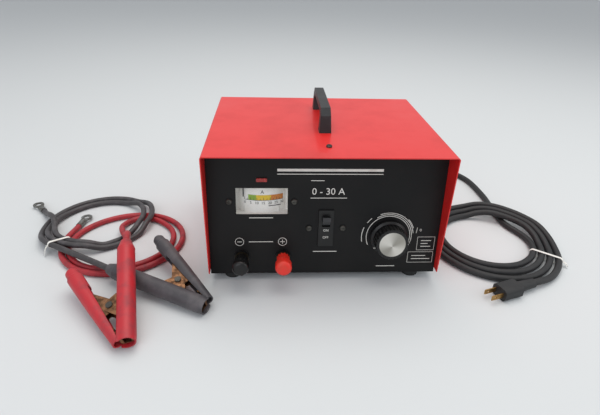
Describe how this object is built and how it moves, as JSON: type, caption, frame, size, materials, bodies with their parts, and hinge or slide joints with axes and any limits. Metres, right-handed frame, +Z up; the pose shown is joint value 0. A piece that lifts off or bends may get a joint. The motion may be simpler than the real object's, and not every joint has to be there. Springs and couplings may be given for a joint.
{
  "type": "car battery charger",
  "caption": "Portable battery charger: folded steel case with carrying handle, ammeter, breaker, current knob, output terminals, coiled mains lead and loose clamp leads.",
  "frame": {"origin": "centre of the plane the rubber feet stand on, below the middle of the case", "axes": "+X to the right as seen from the control panel, -Y out of the control panel, +Z up"},
  "size_m": [0.796, 0.4756, 0.204],
  "materials": {
    "red_paint": "gloss",
    "black_paint": "satin",
    "zinc": "satin",
    "rubber": "matt",
    "black_plastic": "matt",
    "meter_white": "matt",
    "pointer_black": "matt",
    "clear_window": "clear",
    "lamp_red": "gloss",
    "toggle_black": "gloss",
    "resin_brown": "matt",
    "spun_aluminium": "spun",
    "brass": "machined",
    "red_plastic": "gloss",
    "copper": "rolled",
    "core_steel": "varnished",
    "winding": "varnished",
    "fin_aluminium": "extruded",
    "cord_black": "matt",
    "tie_white": "matt",
    "grey_vinyl": "matt",
    "red_vinyl": "satin",
    "jaw_copper": "pressed",
    "spring_steel": "drawn"
  },
  "bodies": {
    "case": {"base_tray": "black_paint", "front_panel": "black_paint", "rear_panel": "black_paint", "cover": "red_paint", "cover_screws": "zinc", "rubber_feet": "rubber", "foot_screws": "zinc", "handle": "black_plastic", "handle_screws": "zinc", "meter_housing": "black_plastic", "meter_dial": "meter_white", "meter_window": "clear_window", "meter_screws": "zinc", "pilot_lamp": "lamp_red", "breaker_body": "black_plastic", "breaker_screws": "zinc", "current_switch": "resin_brown", "terminal_insulators": "black_plastic", "terminal_studs": "brass", "terminal_nuts": "brass", "output_straps": "copper", "transformer_core": "core_steel", "transformer_winding": "winding", "transformer_bracket": "zinc", "transformer_screws": "zinc", "heatsink": "fin_aluminium", "rectifier_diodes": "brass", "cord_gland": "black_plastic", "mains_lead": "cord_black", "mains_coil": "cord_black", "mains_tie": "tie_white", "plug_body": "cord_black", "plug_blades": "brass", "black_lug": "brass", "black_lead": "grey_vinyl", "black_lead_coil": "grey_vinyl", "red_lug": "brass", "red_lead": "red_vinyl", "red_lead_coil": "red_vinyl", "leads_tie": "tie_white", "black_fixed_jaw": "jaw_copper", "black_fixed_sleeve": "grey_vinyl", "red_fixed_jaw": "jaw_copper", "red_fixed_sleeve": "red_vinyl", "clamp_pivot_pins": "zinc", "clamp_springs": "spring_steel"},
    "current_control": {"control_shaft": "zinc", "current_knob": "black_plastic", "knob_cap": "spun_aluminium"},
    "breaker_toggle": {"breaker_toggle": "toggle_black"},
    "meter_pointer": {"meter_pointer": "pointer_black"},
    "black_washer": {"black_terminal_washer": "brass"},
    "black_post_knob": {"black_terminal_knob": "black_plastic"},
    "red_washer": {"red_terminal_washer": "brass"},
    "red_post_knob": {"red_terminal_knob": "red_plastic"},
    "black_clamp_arm": {"black_moving_jaw": "jaw_copper", "black_moving_sleeve": "grey_vinyl"},
    "red_clamp_arm": {"red_moving_jaw": "jaw_copper", "red_moving_sleeve": "red_vinyl"}
  },
  "joints": [
    {"name": "current_knob_turn", "type": "hinge", "parent": "case", "child": "current_control", "pos_m": [0.079, -0.10279, 0.06162], "axis": [0, 0.9925, -0.1219], "range_deg": [0, 270]},
    {"name": "breaker_toggle_tilt", "type": "hinge", "parent": "case", "child": "breaker_toggle", "pos_m": [0, -0.09725, 0.0821], "axis": [1, 0, 0], "range_deg": [0, 48]},
    {"name": "pointer_swing", "type": "hinge", "parent": "case", "child": "meter_pointer", "pos_m": [-0.0785, -0.04544, 0.10193], "axis": [0, 0.1219, 0.9925], "range_deg": [0, 60], "stiffness_Nm_per_rad": 0.0002},
    {"name": "black_knob_turn", "type": "hinge", "parent": "black_washer", "child": "black_post_knob", "pos_m": [-0.104, -0.11594, 0.03654], "axis": [0, -0.9925, 0.1219], "range_deg": [0, 720]},
    {"name": "black_knob_lift", "type": "slide", "parent": "case", "child": "black_washer", "axis": [0, -0.9925, 0.1219], "range_m": [0, 0.0025]},
    {"name": "red_knob_turn", "type": "hinge", "parent": "red_washer", "child": "red_post_knob", "pos_m": [-0.0525, -0.11594, 0.03654], "axis": [0, -0.9925, 0.1219], "range_deg": [0, 720]},
    {"name": "red_knob_lift", "type": "slide", "parent": "case", "child": "red_washer", "axis": [0, -0.9925, 0.1219], "range_m": [0, 0.0025]},
    {"name": "black_clamp_open", "type": "hinge", "parent": "case", "child": "black_clamp_arm", "pos_m": [-0.17904, -0.13401, 0.0167], "axis": [-0.0549, -0.2054, 0.9771], "range_deg": [0, 10], "stiffness_Nm_per_rad": 1.5, "springref_deg": -11.46},
    {"name": "red_clamp_open", "type": "hinge", "parent": "case", "child": "red_clamp_arm", "pos_m": [-0.24388, -0.18151, 0.0202], "axis": [0.1812, 0.287, -0.9406], "range_deg": [0, 10], "stiffness_Nm_per_rad": 1.5, "springref_deg": -11.46}
  ],
  "couplings": [
    {"joint": "black_knob_turn", "follows": "black_knob_lift", "rad_per_m": 5026.5},
    {"joint": "red_knob_turn", "follows": "red_knob_lift", "rad_per_m": 5026.5}
  ]
}
